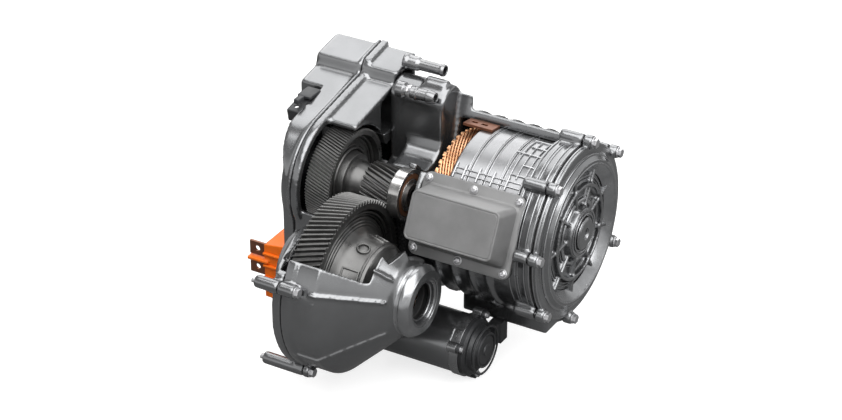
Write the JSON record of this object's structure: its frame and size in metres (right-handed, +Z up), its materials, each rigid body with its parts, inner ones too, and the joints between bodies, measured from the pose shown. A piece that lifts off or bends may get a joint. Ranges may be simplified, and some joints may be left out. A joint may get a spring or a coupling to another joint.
{
  "type": "electric drive unit",
  "caption": "Cutaway electric drive unit: a liquid-cooled motor, a two-stage helical gearbox and a bevel-gear differential on parallel shafts, in cast housings.",
  "frame": {"origin": "on the output axis, at the outer face of the right-hand output collar", "axes": "+X along the shafts to the motor's end cover, +Z up, and the cut-open front faces -Y"},
  "size_m": [0.471, 0.4878, 0.4103],
  "materials": {
    "cast_aluminium": "fine cast",
    "machined_aluminium": "satin",
    "gear_steel": "dark satin",
    "bearing_steel": "ground",
    "screw_steel": "satin",
    "shaft_steel": "satin",
    "lamination_steel": "satin",
    "magnet": "matt",
    "copper_winding": "enamelled",
    "copper_busbar": "satin",
    "orange_plastic": "matt",
    "dark_plastic": "matt",
    "cover_grey": "textured",
    "pump_dark": "matt",
    "seal_rubber": "matt"
  },
  "bodies": {
    "housing": {"gearbox_cover": "cast_aluminium", "gearbox_housing": "cast_aluminium", "differential_housing": "cast_aluminium", "output_seals": "seal_rubber", "housing_bolts": "screw_steel", "intermediate_bearing_outer_rings": "bearing_steel", "intermediate_bearing_rollers": "bearing_steel", "rotor_bearing_outer_rings": "bearing_steel", "rotor_bearing_rollers": "bearing_steel", "differential_bearing_outer_rings": "bearing_steel", "differential_bearing_rollers": "bearing_steel", "motor_housing": "cast_aluminium", "terminal_cover": "cover_grey", "terminal_cover_screws": "screw_steel", "terminal_gasket": "seal_rubber", "stator_jacket": "machined_aluminium", "stator_core": "lamination_steel", "stator_winding_left": "copper_winding", "stator_winding_right": "copper_winding", "motor_end_cover": "cast_aluminium", "end_cover_gasket": "seal_rubber", "end_cover_bolts": "screw_steel", "resolver_cap": "machined_aluminium", "oil_pump_flange": "machined_aluminium", "oil_pump_cover": "pump_dark", "oil_pump_connector": "dark_plastic", "oil_pump_screws": "screw_steel", "signal_connector": "dark_plastic", "coolant_inlet": "machined_aluminium", "coolant_outlet": "cast_aluminium", "hv_connector": "orange_plastic", "hv_busbars": "copper_busbar", "winding_bracket": "copper_busbar"},
    "rotor": {"rotor_core": "lamination_steel", "rotor_magnets": "magnet", "rotor_end_plates": "machined_aluminium", "rotor_shaft": "shaft_steel", "rotor_bearing_inner_rings": "bearing_steel"},
    "intermediate": {"intermediate_shaft": "gear_steel", "intermediate_gear": "gear_steel", "intermediate_bearing_inner_rings": "bearing_steel"},
    "differential": {"differential_carrier": "gear_steel", "differential_pin": "bearing_steel", "ring_gear": "gear_steel", "ring_gear_bolts": "screw_steel", "differential_bearing_inner_rings": "bearing_steel"},
    "output_left": {"side_gear_left": "gear_steel"},
    "output_right": {"side_gear_right": "gear_steel"},
    "upper_planet": {"planet_gear_upper": "gear_steel"},
    "lower_planet": {"planet_gear_lower": "gear_steel"},
    "pump_rotor": {"oil_pump_rotor": "shaft_steel"}
  },
  "joints": [
    {"name": "rotor_spin", "type": "hinge", "parent": "housing", "child": "rotor", "pos_m": [0, 0.21194, 0.04638], "axis": [1, 0, 0], "continuous": true},
    {"name": "intermediate_spin", "type": "hinge", "parent": "housing", "child": "intermediate", "pos_m": [-0.15, 0.12287, 0.08604], "axis": [1, 0, 0], "continuous": true},
    {"name": "differential_spin", "type": "hinge", "parent": "housing", "child": "differential", "pos_m": [-0.136, 0, 0], "axis": [1, 0, 0], "continuous": true},
    {"name": "output_right_spin", "type": "hinge", "parent": "differential", "child": "output_right", "pos_m": [-0.098, 0, 0], "axis": [1, 0, 0], "continuous": true},
    {"name": "output_left_spin", "type": "hinge", "parent": "differential", "child": "output_left", "pos_m": [-0.098, 0, 0], "axis": [1, 0, 0], "continuous": true},
    {"name": "upper_planet_spin", "type": "hinge", "parent": "differential", "child": "upper_planet", "pos_m": [-0.098, 0, 0], "axis": [0, -0.1736, 0.9848], "continuous": true},
    {"name": "lower_planet_spin", "type": "hinge", "parent": "differential", "child": "lower_planet", "pos_m": [-0.098, 0, 0], "axis": [0, 0.1736, -0.9848], "continuous": true},
    {"name": "pump_spin", "type": "hinge", "parent": "housing", "child": "pump_rotor", "pos_m": [0.017, 0.097, -0.119], "axis": [1, 0, 0], "continuous": true}
  ],
  "couplings": [
    {"joint": "intermediate_spin", "follows": "rotor_spin", "ratio": -0.3},
    {"joint": "differential_spin", "follows": "rotor_spin", "ratio": 0.082979},
    {"joint": "output_left_spin", "follows": "output_right_spin", "ratio": -1},
    {"joint": "upper_planet_spin", "follows": "output_right_spin", "ratio": -1.4},
    {"joint": "lower_planet_spin", "follows": "output_right_spin", "ratio": -1.4}
  ]
}
